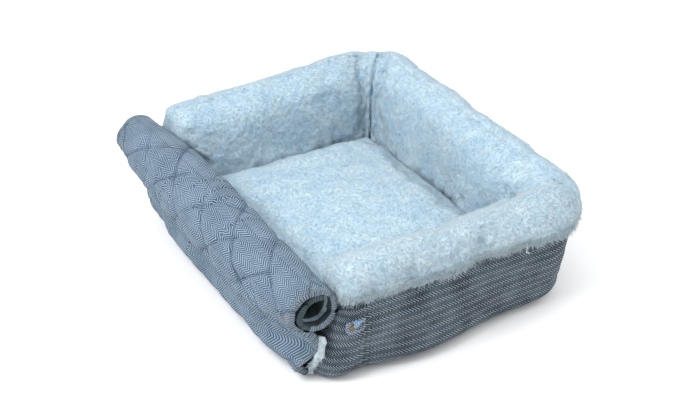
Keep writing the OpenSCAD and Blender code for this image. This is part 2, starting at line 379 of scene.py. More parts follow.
def denim_material(name, dark, light, column, slope, pitch, sparse, rows):
    """Herringbone weave: slanted pale ribs that change direction at each column of the cloth.

    The vertex attribute cloth_place holds metres along and across the columns, and then how
    loose the cloth is: 0 on a quilting stitch, 1 where it is free. The higher sparse is, the
    thinner the pale ribs are, and the higher rows is, the darker every other column is."""
    mat, tree, bsdf = new_material(name)
    place = tree.nodes.new("ShaderNodeAttribute")
    place.attribute_name = "cloth_place"
    split = tree.nodes.new("ShaderNodeSeparateXYZ")
    feed(tree, (place, "Vector"), split, "Vector")
    along, across, free = (split, "X"), (split, "Y"), (split, "Z")
    wander = math_node(tree, "MULTIPLY", noise_node(tree, 40.0, 2.0, 0.5), 0.004)
    zigzag = math_node(tree, "PINGPONG", across, column)
    slant = math_node(tree, "MULTIPLY", zigzag, slope[1])
    slant = math_node(tree, "MULTIPLY_ADD", along, slope[0], slant)
    slant = math_node(tree, "ADD", slant, wander)
    rib = math_node(tree, "FRACT", math_node(tree, "DIVIDE", slant, pitch))
    rib = math_node(tree, "ABSOLUTE", math_node(tree, "SUBTRACT", rib, 0.5))
    rib = math_node(tree, "MULTIPLY", rib, 2.0)
    warp = noise_node(tree, 700.0, 3.0, 0.7)
    worn = noise_node(tree, 22.0, 4.0, 0.6)
    broken = math_node(tree, "MULTIPLY_ADD", warp, 0.6, math_node(tree, "MULTIPLY", rib, 0.8))
    yarn = ramp(tree, broken, [(sparse, dark), (sparse + 0.22, light)])
    turn = math_node(tree, "FRACT", math_node(tree, "DIVIDE", across, 2 * column))
    full, dim = (1.0,) * 3, (1 - rows,) * 3
    other = ramp(tree, turn, [(0.40, full), (0.52, dim), (0.90, dim), (1.0, full)])
    yarn = mix_colour(tree, 1.0, yarn, other, "MULTIPLY")
    washed = mix_colour(tree, 0.16, yarn, ramp(tree, worn, [(0.35, dark), (0.7, light)]))
    # Painted shade: the colour darkens towards each quilting stitch, where the cloth dips in.
    stitch = ramp(tree, free, [(0.0, (0.42, 0.46, 0.54)), (0.55, (1.0, 1.0, 1.0))])
    shaded = mix_colour(tree, 1.0, washed, stitch, "MULTIPLY")
    feed(tree, shaded, bsdf, "Base Color")
    set_inputs(bsdf, {"Roughness": 0.85, "Specular IOR Level": 0.15, "Sheen Weight": 0.05,
                      "Sheen Roughness": 0.5})
    height = math_node(tree, "MULTIPLY_ADD", warp, 0.5, rib)
    add_bump(tree, bsdf, height, 0.55, 0.0007)
    return mat


def twill_material(name, dark, light):
    """Denim seen too close to a seam for its columns to show: fine diagonal twill."""
    mat, tree, bsdf = new_material(name)
    place = tree.nodes.new("ShaderNodeTexCoord")
    split = tree.nodes.new("ShaderNodeSeparateXYZ")
    feed(tree, (place, "Object"), split, "Vector")
    slant = math_node(tree, "ADD", (split, "Y"), math_node(tree, "ADD", (split, "Z"), (split, "X")))
    rib = math_node(tree, "FRACT", math_node(tree, "DIVIDE", slant, 0.0026))
    fuzz = noise_node(tree, 1300.0, 2.0, 0.7)
    yarn = ramp(tree, math_node(tree, "MULTIPLY_ADD", fuzz, 0.5, rib), [(0.5, dark), (1.1, light)])
    feed(tree, yarn, bsdf, "Base Color")
    set_inputs(bsdf, {"Roughness": 0.85, "Specular IOR Level": 0.2})
    add_bump(tree, bsdf, rib, 0.4, 0.0005)
    return mat


def copper_material():
    """Antique copper with darker patches in its recesses."""
    mat, tree, bsdf = new_material("antique_copper")
    age = noise_node(tree, 420.0, 4.0, 0.65)
    colour = ramp(tree, age, [(0.35, (0.07, 0.045, 0.025)), (0.62, (0.27, 0.175, 0.095))])
    feed(tree, colour, bsdf, "Base Color")
    bsdf.inputs["Metallic"].default_value = 0.85
    rough = ramp(tree, age, [(0.3, (0.55, 0.55, 0.55)), (0.7, (0.3, 0.3, 0.3))])
    feed(tree, rough, bsdf, "Roughness")
    add_bump(tree, bsdf, age, 0.25, 0.0003)
    return mat


def speckled_material(name, grain, dark, light, rough, relief=None):
    """Plain cloth or thread, flecked with two shades; grain is its noise's settings."""
    mat, tree, bsdf = new_material(name)
    flecks = noise_node(tree, *grain)
    feed(tree, ramp(tree, flecks, [(0.3, dark), (0.7, light)]), bsdf, "Base Color")
    bsdf.inputs["Roughness"].default_value = rough
    if relief:
        add_bump(tree, bsdf, flecks, *relief)
    return mat


# Colours are linear red, green and blue. A denim's numbers after them are its column width, its
# slopes along and across, its rib pitch, and its sparse and rows shares.
PLUSH = plush_material("plush", (0.29, 0.435, 0.55), (0.40, 0.53, 0.62),
                       (0.50, 0.615, 0.67))
PLUSH_TIPS = plush_material("plush_tips", (0.44, 0.575, 0.67), (0.49, 0.60, 0.665),
                            (0.545, 0.635, 0.675))
# Greyer, less blue copies of the plush and its tips for the front wall: painted shade, as its outer face
# is turned from the key light.
FRONT_PLUSH_PAINTED_SHADE = plush_material("front_plush_painted_shade", (0.31, 0.44, 0.54), (0.42, 0.535, 0.61),
                             (0.52, 0.62, 0.66))
FRONT_TIPS_PAINTED_SHADE = plush_material("front_tips_painted_shade", (0.455, 0.58, 0.66), (0.505, 0.605, 0.655),
                            (0.56, 0.64, 0.665))
# A paler copy of the plush for the lining's edge: painted light, as that strip lies in shade.
LINING_PAINTED_LIGHT = plush_material("lining", (0.40, 0.51, 0.57), (0.54, 0.63, 0.67),
                        (0.68, 0.74, 0.75))
DENIM = denim_material("denim", (0.009, 0.015, 0.025), (0.36, 0.44, 0.51),
                       0.0072, (1.0, 1.3), 0.0057, 0.85, 0.52)
DENIM_FLAP = denim_material("denim_flap", (0.036, 0.066, 0.104), (0.33, 0.42, 0.51),
                            0.0105, (1.0, 1.1), 0.0053, 0.77, 0.0)
DENIM_EDGE = denim_material("denim_edge", (0.040, 0.062, 0.085), (0.31, 0.37, 0.43),
                            0.0060, (1.0, 1.1), 0.0048, 0.76, 0.0)
# A much darker copy of the flap's denim: painted shade for cloth deep inside the roll.
DENIM_PAINTED_SHADE = denim_material("denim_inside_painted_shade", (0.018, 0.030, 0.036), (0.09, 0.12, 0.13),
                              0.0060, (1.0, 1.1), 0.0044, 0.76, 0.0)
DENIM_TAB = denim_material("denim_tab", (0.060, 0.100, 0.150), (0.42, 0.50, 0.58),
                           0.0060, (1.0, 1.1), 0.0048, 0.74, 0.0)
DENIM_PALE = denim_material("denim_pale", (0.10, 0.19, 0.34), (0.34, 0.44, 0.55),
                            0.0060, (1.0, 1.1), 0.0048, 0.66, 0.0)
DENIM_PLAIN = twill_material("denim_plain", (0.030, 0.045, 0.070), (0.13, 0.17, 0.21))
COPPER = copper_material()
BASE_CLOTH = speckled_material("base_cloth", (1100.0, 2.0, 0.6), (0.03, 0.04, 0.055),
                               (0.09, 0.11, 0.14), 0.9, (0.3, 0.0004))
THREAD = speckled_material("thread", (2500.0, 2.0, 0.5), (0.55, 0.60, 0.64), (0.80, 0.84, 0.86), 0.8)

# ---------------- walls

front_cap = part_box("front_end_cap")
back_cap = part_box("back_end_cap")
right_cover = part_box("right_plush_cover")

FRONT_LEAN, RIGHT_LEAN, BACK_LEAN = 0.011, 0.024, 0.028
FRONT_X0 = front_cap[0].x - 0.009    # the stuffed ends swell past their flat caps
BACK_X0 = back_cap[0].x - 0.018
OUT_Y0 = front_cap[0].y + FRONT_LEAN
OUT_Y1 = back_cap[1].y - BACK_LEAN
OUT_X1 = right_cover[1].x - RIGHT_LEAN
IN_Y0, IN_Y1, IN_X1 = front_cap[1].y, back_cap[0].y, right_cover[0].x
WALL_Z0 = front_cap[0].z
FRONT_H, BACK_H, RIGHT_H = front_cap[1].z, back_cap[1].z, right_cover[1].z
SEAM_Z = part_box("front_denim_panel")[1].z

OUT_R = 0.078          # plan radius of the outer corners
IN_R = 0.016           # plan radius of the inner corners
END_R = 0.030          # how far a wall's free end takes to round off
STEP = 0.0026          # spacing of the plush mesh
SQUARE = 0.62          # how squarely the walls stand on the floor: 1 is round
BOW = 0.020            # how far the front wall's foot bows outwards
BOW_AT = 0.150         # distance along the front wall where it bows most
BOW_WIDTH = 0.100      # how far along the wall it bows
BLEND = 20             # stations over which one wall's height and lean turn into the next's
BELLY_Z = 0.105        # height that a free end shrinks towards
AROUND = 176           # points round a wall's section
GRIP = 0.008           # cover within this of a held point is held too
WALL_SLACK = 0.05      # share that a wall's simulated cover grows by
WALL_RISE = 0.009      # most that it moves
WALL_SHRINK = 0.004    # how much smaller it starts
LIP = 0.0055           # how far the plush swells out over the seam
HOLD_IN = 0.0090       # how far it holds in behind the denim
BELLY = 0.005          # how far the inner faces swell over the seat
CREASE = 0.0150        # depth of the crease over the rim by the front corner
CREASE_AT = 0.018      # how far past that corner the crease is
DIMPLE = 0.0070        # depth of the dimple low inside the right wall
DIMPLE_AT = 0.200
DENIM_SWELL = 0.0035   # how far the denim bulges half way up
DENIM_STAND = 0.0012   # how far it stands off the plush
DENIM_TUCK = 0.0015    # how far its top edge is tucked in under the seam
GATHER = 0.0035        # depth of its folds at the free ends
LUMPS, FINE_LUMPS = 0.0045, 0.0018     # unevenness of the stuffing


def u_path():
    """Stations round the three walls, from the front's free end to the back's.

    Gives their outer and inner points on the plan, and the stations of the two corners."""
    x_out, x_in = OUT_X1 - OUT_R, IN_X1 - IN_R
    y_out = OUT_Y0 + OUT_R, OUT_Y1 - OUT_R
    y_in = IN_Y0 + IN_R, IN_Y1 - IN_R
    outer, inner = [], []

    def straight(outer_ends, inner_ends, count, last=False):
        t = np.linspace(0, 1, count, endpoint=last)[:, None]
        for path, ends in ((outer, outer_ends), (inner, inner_ends)):
            start, end = np.array(ends[0]), np.array(ends[1])
            path.append(start + (end - start) * t)

    def corner(k, count):
        a = np.linspace((k - 1) * math.pi / 2, k * math.pi / 2, count, endpoint=False)
        ring = heading(a)
        outer.append(np.array([x_out, y_out[k]]) + OUT_R * ring)
        inner.append(np.array([x_in, y_in[k]]) + IN_R * ring)

    front = int((x_out - FRONT_X0) / STEP)
    right = int((y_out[1] - y_out[0]) / STEP)
    bend = int(OUT_R * math.pi / 2 / STEP) * 2
    straight(((FRONT_X0, OUT_Y0), (x_out, OUT_Y0)), ((FRONT_X0, IN_Y0), (x_in, IN_Y0)), front)
    corner(0, bend)
    straight(((OUT_X1, y_out[0]), (OUT_X1, y_out[1])), ((IN_X1, y_in[0]), (IN_X1, y_in[1])), right)
    corner(1, bend)
    straight(((x_out, OUT_Y1), (BACK_X0, OUT_Y1)), ((x_in, IN_Y1), (BACK_X0, IN_Y1)), front + 1, True)
    corners = (front + bend // 2, front + bend + right + bend // 2)
    return np.concatenate(outer), np.concatenate(inner), corners


OUTER, INNER, CORNERS = u_path()
RUN = np.concatenate([[0], np.cumsum(np.linalg.norm(np.diff(OUTER, axis=0), axis=1))])
FRONT_CORNER, BACK_CORNER = RUN[CORNERS[0]], RUN[CORNERS[1]]
LAST = len(RUN) - 1
WALLS = (("front", 0, CORNERS[0]), ("right", CORNERS[0], CORNERS[1]), ("back", CORNERS[1], LAST))


def along_walls(values):
    """Spreads values given at the free front end, mid front, front corner, mid right,
    back corner, mid back and free back end over all stations."""
    stops = [0, FRONT_CORNER / 2, FRONT_CORNER, (FRONT_CORNER + BACK_CORNER) / 2,
             BACK_CORNER, (BACK_CORNER + RUN[-1]) / 2, RUN[-1]]
    plain = np.interp(RUN, stops, values)
    kernel = np.hanning(2 * BLEND + 1)
    padded = np.pad(plain, BLEND, mode="edge")
    return np.convolve(padded, kernel / kernel.sum(), mode="valid")


RIM = along_walls([FRONT_H + 0.003, FRONT_H, RIGHT_H - 0.002, RIGHT_H - 0.004,
                   BACK_H + 0.004, BACK_H, BACK_H - 0.006])
LEAN = along_walls([FRONT_LEAN, FRONT_LEAN, 0.020, RIGHT_LEAN, 0.028, BACK_LEAN, BACK_LEAN])


def section(width, lean, height, shares):
    """Points of a wall's section at shares 0 to 1 of its outline: (outward, up) from its middle.

    The outline starts under the wall and runs up the outer face, over the rim and down inside."""
    r = width / 2
    low, high = np.array([0.0, WALL_Z0 + r]), np.array([lean, height - r])
    tilt = math.atan2(high[0] - low[0], high[1] - low[1])
    straight = np.linalg.norm(high - low)
    quarter = r * (math.pi / 2 - tilt)
    lengths = [quarter, straight, math.pi * r, straight, r * math.pi - quarter]
    ends = np.concatenate([[0], np.cumsum(np.array(lengths))])
    s = shares * ends[-1]
    side = r * np.array([math.cos(tilt), -math.sin(tilt)])
    up = np.array([math.sin(tilt), math.cos(tilt)])

    def foot(start, distance):
        turn = heading(start + distance / r)
        return low + r * np.sign(turn) * np.abs(turn) ** SQUARE

    parts = (foot(-math.pi / 2, s), low + side + (s - ends[1])[:, None] * up,
             high + r * heading(-tilt + (s - ends[2]) / r), high - side - (s - ends[3])[:, None] * up,
             foot(math.pi - tilt, s - ends[4]))
    place = np.searchsorted(ends[1:-1], s, side="right")
    return np.choose(place[:, None], parts)


def end_shrink():
    """Share of full size at each station: round at the two free ends."""
    d = np.minimum(RUN, RUN[-1] - RUN)
    return np.sqrt(np.clip(1 - (1 - np.clip(d / END_R, 0, 1)) ** 2.6, 0.05, 1))


SHRINK = end_shrink()


def wall_middles():
    """The middle of the wall's section at every station."""
    plan = (OUTER + INNER) / 2
    return np.column_stack([plan, (RIM + WALL_Z0) / 2])


def wall_surface(shares):
    """Points of the walls' capsule outline at every station: (stations, shares, 3)."""
    surface = np.zeros((len(RUN), len(shares), 3))
    for k in range(len(RUN)):
        gap = OUTER[k] - INNER[k]
        width = np.linalg.norm(gap)
        across = gap / width
        flat = section(width, LEAN[k], RIM[k], shares)
        middle = np.array([LEAN[k] * 0.45, BELLY_Z])
        most, least = 0.3 + 0.7 * SHRINK[k], 0.7 + 0.3 * SHRINK[k]
        share = np.stack([np.full(len(flat), most), np.where(flat[:, 1] > BELLY_Z, most, least)], 1)
        flat = middle + (flat - middle) * share
        centre = (OUTER[k] + INNER[k]) / 2
        surface[k, :, :2] = centre + flat[:, :1] * across
        surface[k, :, 2] = flat[:, 1]
    run = RUN[:, None]
    bow = BOW * bump(run - BOW_AT, BOW_WIDTH) * smooth(run, 0.0, 0.07)
    bow = bow * (1 - smooth(surface[..., 2], 0.02, 0.15))
    surface[..., 1] -= bow * (shares < 0.5)[None, :]
    return surface


def blow_up_walls(surface):
    """Simulated swelling of the walls' covers, held under the denim and at the corner seams.

    The front and right walls swell as one; the back wall meets them at a seam all round."""
    moved = np.zeros_like(surface)
    around = surface.shape[1]
    for first, last in ((0, CORNERS[1]), (CORNERS[1], LAST)):
        part = surface[first:last + 1]
        verts = part.reshape(-1, 3)
        rows = len(part)
        faces = quads(rows, around, wrap_cols=True)
        faces.append(list(range(around))[::-1])
        faces.append([(rows - 1) * around + k for k in range(around)])
        outside = surface[first:last + 1, :around // 2].reshape(-1, 3)
        outside = outside[outside[:, 2] < SEAM_Z - 0.010][::7]
        inner_seam = surface[CORNERS[0], around // 2 + 20:]
        low = verts[verts[:, 2] < 0.050][::9]
        tree = search_tree(np.concatenate([surface[CORNERS[1]], inner_seam, outside, low]))

        def held(places, tree=tree):
            return np.array([tree.find(place)[2] < GRIP for place in places])

        swollen = inflate(verts, faces, held, WALL_SLACK, WALL_RISE, WALL_SHRINK)
        moved[first:last + 1] = swollen.reshape(part.shape)
    return moved


def build_walls():
    """The stuffed plush walls, in three closed pieces that meet at the corner seams."""
    shares = np.linspace(0, 1, AROUND, endpoint=False)
    surface = wall_surface(shares)
    normals = grid_normals(surface, wall_middles(), wrap_cols=True)
    z = surface[..., 2]
    run = np.repeat(RUN[:, None], AROUND, 1)
    outside = shares[None, :] < 0.5
    # The plush swells out over the seam and holds in below it.
    lip = smooth(z, SEAM_Z - 0.004, SEAM_Z + 0.012) * outside
    under_denim = np.where(outside, 1 - smooth(z, SEAM_Z - 0.012, SEAM_Z - 0.002), 0)
    push = LIP * lip - HOLD_IN * under_denim
    # Stuffed full, the inner faces belly out over the seat's edges.
    push = push + np.where(outside, 0, BELLY * bump(z - 0.150, 0.050))
    lumps = LUMPS * noise(surface, 0.10, 3) + FINE_LUMPS * noise(surface, 0.042, 4)
    push = push + lumps * (1 - under_denim)
    surface = surface + normals * push[..., None]
    surface = surface + blow_up_walls(surface)
    normals = grid_normals(surface, wall_middles(), wrap_cols=True)
    push = 0.0
    # Corner seams pull a tuck into the rim and the inner face.
    for corner, depth in ((FRONT_CORNER, 0.003), (BACK_CORNER, 0.008)):
        tuck = bump(run - corner, 0.008) * np.where(outside, smooth(z, 0.19, 0.225), 1.0)
        push = push - depth * tuck
    # A crease over the rim where the right wall meets the front corner, and a dimple low inside.
    crease = bump(run - FRONT_CORNER - CREASE_AT, 0.009) * smooth(z, 0.172, 0.190)
    push = push - CREASE * crease * bump(shares[None, :] - 0.455, 0.055)
    dimple = bump(run - FRONT_CORNER - DIMPLE_AT, 0.011) * bump(z - 0.098, 0.010)
    push = push - DIMPLE * dimple * (~outside)
    # Soft folds where the back wall bends down to its free end.
    fold = smooth(run, RUN[-1] - 0.16, RUN[-1] - 0.03)
    push = push - 0.006 * fold * np.abs(noise(surface * [1, 1, 1.6], 0.04, 5))
    pile = 0.0011 * noise(surface, 0.0085, 6) + 0.0008 * noise(surface, 0.0048, 7)
    covered = np.where(outside, 1 - smooth(z, SEAM_Z - 0.006, SEAM_Z + 0.002), 0)
    surface = surface + normals * (push + pile * (1 - covered))[..., None]
    surface[..., 2] = np.maximum(surface[..., 2], 0.0008)
    for side, first, last in WALLS:
        # The front wall takes the greyer plush: painted shade.
        material = FRONT_PLUSH_PAINTED_SHADE if side == "front" else PLUSH
        piece = tube(side + "_wall", surface[first:last + 1], material)
        stands_for = [side + "_plush_cover", side + "_wall_filling"]
        if side != "right":
            stands_for.append(side + "_end_cap")
        settle(piece, "bed", "plush", *stands_for)
    return surface, normals * np.where(covered > 0.97, 0, 1)[..., None]


def build_denim_band():
    """Denim round the outside of the walls, from under the edge up to the seam."""
    shares = np.linspace(0.012, 0.36, 84)
    surface = wall_surface(shares)
    normals = grid_normals(surface, wall_middles())
    z = surface[..., 2]
    # Rows stop at the seam: each station's outline is cut where it reaches it.
    cut = np.zeros_like(surface)
    cut_normals = np.zeros_like(surface)
    travel = np.zeros(surface.shape[:2])
    for k in range(len(RUN)):
        steps = np.concatenate([[0], np.cumsum(np.linalg.norm(np.diff(surface[k], axis=0), axis=1))])
        top = np.interp(SEAM_Z + 0.0015 * math.sin(RUN[k] * 31), z[k], steps)
        want = np.linspace(0, top, len(shares))
        for axis in range(3):
            cut[k, :, axis] = np.interp(want, steps, surface[k, :, axis])
            cut_normals[k, :, axis] = np.interp(want, steps, normals[k, :, axis])
        travel[k] = want
    cut_normals = unit(cut_normals)
    run = np.repeat(RUN[:, None], len(shares), 1)
    level = cut[..., 2]
    swell = DENIM_SWELL * np.sin(np.clip(level / SEAM_Z, 0, 1) * math.pi)
    creases = 0.0020 * noise(cut * [1, 1, 2.2], 0.07, 21)
    creases = creases + 0.0012 * noise(cut * [0.6, 0.6, 2.5], 0.03, 22)
    gather = smooth(0.10 - run, 0, 0.07) + smooth(run - RUN[-1] + 0.10, 0, 0.07)
    creases = creases - GATHER * gather * np.abs(noise(cut * [1, 1, 2.0], 0.028, 23))
    push = (DENIM_STAND + swell + creases) * smooth(level, WALL_Z0, WALL_Z0 + 0.02)
    tucked = DENIM_TUCK * smooth(level, SEAM_Z - 0.006, SEAM_Z)
    outer = cut + cut_normals * (push - tucked)[..., None]
    inner = cut + cut_normals * (push - tucked - DENIM_T)[..., None]
    outer[..., 2] = np.maximum(outer[..., 2], REST_Z)
    inner[..., 2] = np.maximum(inner[..., 2], 0.0006)
    weave = points(run, travel, 1)
    for side, first, last in WALLS:
        part = slice(first, last + 1)
        piece = slab(side + "_denim", outer[part], inner[part], DENIM, weave[part])
        settle(piece, "bed", "denim", side + "_denim_panel")
    return outer, travel


SIGN = {"front": -1, "back": 1}
JOIN = 16              # stations in from a free end where its denim corner starts
END_X = -0.2405        # face of a wall's free end at its foot
END_Y = 0.258          # how far out the free ends' middles are
CORNER_FOOT = 0.0015   # height of the denim corner's lower edge


def build_gusset(side, band, travel):
    """Denim that turns the lower corner at a wall's free end and covers the end below the seam."""
    sign = SIGN[side]
    station = JOIN if side == "front" else LAST - JOIN
    column = band[station]
    start_x = column[:, 0].mean()
    around, up = 44, 48
    a, share = sweeps(np.linspace(0, 1, around), np.linspace(0, 1, up))
    top = SEAM_Z - 0.005 - 0.030 * smooth(a, 0.4, 1)
    z = CORNER_FOOT + (top - CORNER_FOOT) * share ** 0.85
    tucked = 0.004 * (1 - smooth(z, 0.0, 0.018))
    face = np.interp(z, column[:, 2], column[:, 1])
    swollen = 0.0025 * smooth(a, 0, 0.2)
    deep = np.abs(face) - END_Y + swollen + 0.006 * (1 - smooth(z, 0.0, 0.06)) * smooth(a, 0, 0.3)
    reach = start_x - (END_X + 0.024 * smooth(z, 0.03, 0.13))
    turn = a * math.pi / 2
    x = start_x - (reach - tucked * np.sin(turn)) * np.sin(turn) ** 0.70
    y = sign * (END_Y + (deep - tucked * 0.3) * np.cos(turn) ** 0.62)
    grid = points(x, y, z)
    creases = 0.0022 * noise(grid * [1, 1, 0.7], 0.030, 31) + 0.0010 * noise(grid, 0.013, 32)
    middle = np.array([start_x, sign * END_Y, 0.07])
    out = unit((grid - middle) * [1, 1, 0.1])
    outer = grid + out * (creases * smooth(a, 0, 0.15) + 0.0008)[..., None]
    inner = outer - out * DENIM_T
    run = RUN[JOIN] * (1 - a) - a * 0.07 if side == "front" else RUN[LAST - JOIN] + a * 0.10
    weave = points(run, np.interp(z, column[:, 2], travel[station]), 1)
    piece = slab(side + "_denim_corner", outer, inner, DENIM, weave)
    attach(piece, "bed")


TUFTS = 49000          # locks of pile on a wall or on the seat
WALL_PILE, SEAT_PILE = 0.0029, 0.0030      # lengths of the locks
FRINGE_TUFTS, FRINGE = 3000, 0.0086        # locks over a wall's seam, and their length


def grow_pile(name, body, places, normals, keep, count, length, seed, wild=0.28,
              material=PLUSH_TIPS):
    """Locks of pile all over the kept part of a surface grid, leaning this way and that.

    The higher wild is, the less they lie the same way and the more their lengths differ."""
    rng = np.random.default_rng(seed)
    rows, cols = np.nonzero(keep[:-1, :-1])
    corner = places[:-1, :-1]
    size = np.linalg.norm(np.cross(places[1:, :-1] - corner, places[:-1, 1:] - corner), axis=-1)
    weight = size[rows, cols]
    pick = rng.choice(len(rows), count, p=weight / weight.sum())
    r, c = rows[pick], cols[pick]
    u, v = rng.uniform(size=(count, 1)), rng.uniform(size=(count, 1))
    roots = places[r, c] * (1 - u) * (1 - v) + places[r + 1, c] * u * (1 - v)
    roots = roots + places[r, c + 1] * (1 - u) * v + places[r + 1, c + 1] * u * v
    combed = np.stack([noise(roots, 0.021, seed + k) for k in (1, 2, 3)], 1)
    leans = normals[r, c] + 0.36 * combed + wild * rng.normal(size=(count, 3)) + [0, 0, -0.10]
    inward = np.einsum("ij,ij->i", leans, normals[r, c]) < 0.25
    leans[inward] = leans[inward] + normals[r, c][inward]
    lengths = length * rng.uniform(max(0.2, 0.95 - 1.25 * wild), 1.25, count)
    widths = rng.uniform(0.0007, 0.0013, count)
    piece = tufts(name, roots, leans, lengths, widths, material, seed + 4)
    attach(piece, body)


def grow_wall_pile():
    """Pile on the walls wherever the plush shows, and a fringe that hangs over the seam."""
    z = wall_points[..., 2]
    shown = (np.linalg.norm(wall_normals, axis=-1) > 0.5) & (z > 0.072)
    for side, first, last in WALLS:
        part = slice(first, last + 1)
        # The front wall's pile takes the greyer tips: painted shade.
        tips = FRONT_TIPS_PAINTED_SHADE if side == "front" else PLUSH_TIPS
        grow_pile(side + "_pile", "bed", wall_points[part], wall_normals[part], shown[part],
                  TUFTS, WALL_PILE, 100 + first, wild=0.34, material=tips)
        edge = shown[part] & (np.abs(z[part] - SEAM_Z - 0.006) < 0.011)
        edge = edge & (np.arange(AROUND) < AROUND // 2)[None, :]
        droop = unit(wall_normals[part] + [0, 0, -0.8])
        lip = wall_points[part] + wall_normals[part] * 0.0015
        grow_pile(side + "_fringe", "bed", lip, droop, edge, FRINGE_TUFTS, FRINGE,
                  200 + first, 0.85, tips)


wall_points, wall_normals = build_walls()
denim_band, band_travel = build_denim_band()
build_gusset("front", denim_band, band_travel)
build_gusset("back", denim_band, band_travel)
grow_wall_pile()

# ---------------- base and seat cushion


PAD_SLACK = 0.045                          # share that its simulated cover grows by
PAD_RISE, PAD_SHRINK = 0.008, 0.003        # most that it moves, and how much smaller it starts
SIDEWAYS = 0.15                            # share of the seat's sideways swelling that is kept


def blow_up_pad(upper, under, floor):
    """Simulated swelling of a pad's cover, held all along its flat underside."""
    verts = np.concatenate([upper.reshape(-1, 3), under.reshape(-1, 3)])
    moved = inflate(verts, slab_faces(*upper.shape[:2]), lambda places: places[:, 2] < floor + VOXEL,
                    PAD_SLACK, PAD_RISE, PAD_SHRINK)
    moved = moved[:len(moved) // 2].reshape(upper.shape)
    # The cushion is boxed in by the walls, so it swells mostly upwards.
    moved[..., :2] *= SIDEWAYS
    return moved


EDGE_R = 0.013         # how far in from its sides a pad is rounded off


def pillow(name, low, high, crown, corner, material, step, pile, seed, body):
    """Crowned closed pad in a box: round corners, sides that swell, flat underneath."""
    nx, ny = int((high.x - low.x) / step), int((high.y - low.y) / step)
    a, b = sweeps(np.linspace(-1, 1, nx), np.linspace(-1, 1, ny))
    cx, cy = (low.x + high.x) / 2, (low.y + high.y) / 2
    hx, hy = (high.x - low.x) / 2, (high.y - low.y) / 2
    # Square to rounded square: pull the corners in.
    pull = 1 - corner * (np.abs(a * b)) ** 6
    x, y = cx + hx * a * pull, cy + hy * b * pull
    edge = (1 - np.abs(a) ** (2 * hx / EDGE_R)) * (1 - np.abs(b) ** (2 * hy / EDGE_R))
    rise = np.sqrt(np.clip(edge, 0, 1))
    dome = (1 - a ** 2) * (1 - b ** 2)
    flat = points(x, y, 0)
    soft = 0.0035 * noise(flat, 0.13, seed) + 0.0016 * noise(flat, 0.05, seed + 1)
    fuzz = pile * (noise(flat, 0.0085, seed + 2) + 0.7 * noise(flat, 0.0048, seed + 3))
    top = low.z + (high.z - low.z) * rise + crown * dome + soft * rise
    upper = points(x, y, top)
    under = points(x, y, x * 0 + low.z - 0.0002)
    if pile:
        upper = upper + blow_up_pad(upper, under, low.z)
        upper[..., 2] += fuzz * rise
    piece = slab(name, upper, under, material)
    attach(piece, body)
    return piece, upper


seat_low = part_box("seat_underside")[0] + Vector((0, -0.003, 0.0015))
seat_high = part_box("seat_plush_top")[1] + Vector((0.005, 0.006, 0.004))
seat, seat_top = pillow("seat_cushion_top", seat_low, seat_high, 0.010, 0.03, PLUSH, STEP, 0.0010, 40,
                        "seat_cushion")
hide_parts("seat_plush_top", "seat_filling")

seat_up = grid_normals(seat_top, seat_top.mean(1) - [0, 0, 1])
seat_shown = seat_top[..., 2] > seat_low.z + 0.010
grow_pile("seat_pile", "seat_cushion", seat_top, seat_up, seat_shown, TUFTS, SEAT_PILE, 300)


def build_base():
    """Base pad under the seat."""
    low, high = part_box("base_filling")
    low = Vector((low.x, low.y + 0.004, low.z))
    high = Vector((high.x, high.y - 0.004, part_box("base_deck_cloth")[1].z))
    pad = pillow("base_pad", low, high, 0.0, 0.0, PLUSH, 0.008, 0.0, 60, "bed")[0]
    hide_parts("base_filling", "base_deck_cloth")


def build_under_cloth(name, node, corner, body):
    """Flat dark cloth on the underside of a pad, with its corners drawn in."""
    low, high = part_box(node)
    nx, ny = 60, 90
    a, b = sweeps(np.linspace(-1, 1, nx), np.linspace(-1, 1, ny))
    pull = 1 - corner * np.abs(a * b) ** 6
    x = (low.x + high.x) / 2 + (high.x - low.x) / 2 * a * pull
    y = (low.y + high.y) / 2 + (high.y - low.y) / 2 * b * pull
    ripple = 0.0003 * noise(points(x, y, 0), 0.05, 70)
    upper = points(x, y, low.z + 0.0013 + ripple)
    under = points(x, y, low.z + 0.0003 + np.maximum(ripple, 0))
    piece = slab(name, upper, under, BASE_CLOTH)
    settle(piece, body, "bottom_cloth", node)


def build_open_side():
    """Denim along the base's open side, and the folded seam at its foot that holds the flap."""
    low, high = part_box("left_side_panel")
    along, up = 150, 20
    y, z = sweeps(np.linspace(low.y, high.y, along), np.linspace(low.z, high.z, up))
    creases = 0.0012 * noise(points(0, y, z * 1.6), 0.035, 66)
    x = low.x + 0.0012 + creases
    outer, inner = points(x, y, z), points(x + 0.0014, y, z)
    panel = slab("left_denim", outer, inner, DENIM, points(y, z, 1))
    settle(panel, "bed", "denim", "left_side_panel")

    low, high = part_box("flap_root_welt")
    run = np.linspace(low.y, high.y, 160)
    turn = np.linspace(0, 2 * math.pi, 14, endpoint=False)[None, :]
    plump = 0.90 + 0.10 * noise(points(0, run, 0), 0.020, 67)[:, None]
    x = (low.x + high.x) / 2 + (high.x - low.x) / 2 * plump * np.cos(turn)
    z = (low.z + high.z) / 2 + (high.z - low.z) / 2 * plump * np.sin(turn)
    seam = tube("flap_root_seam", points(x, run[:, None] + 0 * x, np.maximum(z, REST_Z)), DENIM_PLAIN)
    settle(seam, "bed", "denim", "flap_root_welt")


build_base()
build_under_cloth("base_under_cloth", "base_bottom_cloth", 0.06, "bed")
build_under_cloth("seat_under_cloth", "seat_underside", 0.03, "seat_cushion")
build_open_side()

# ---------------- flap

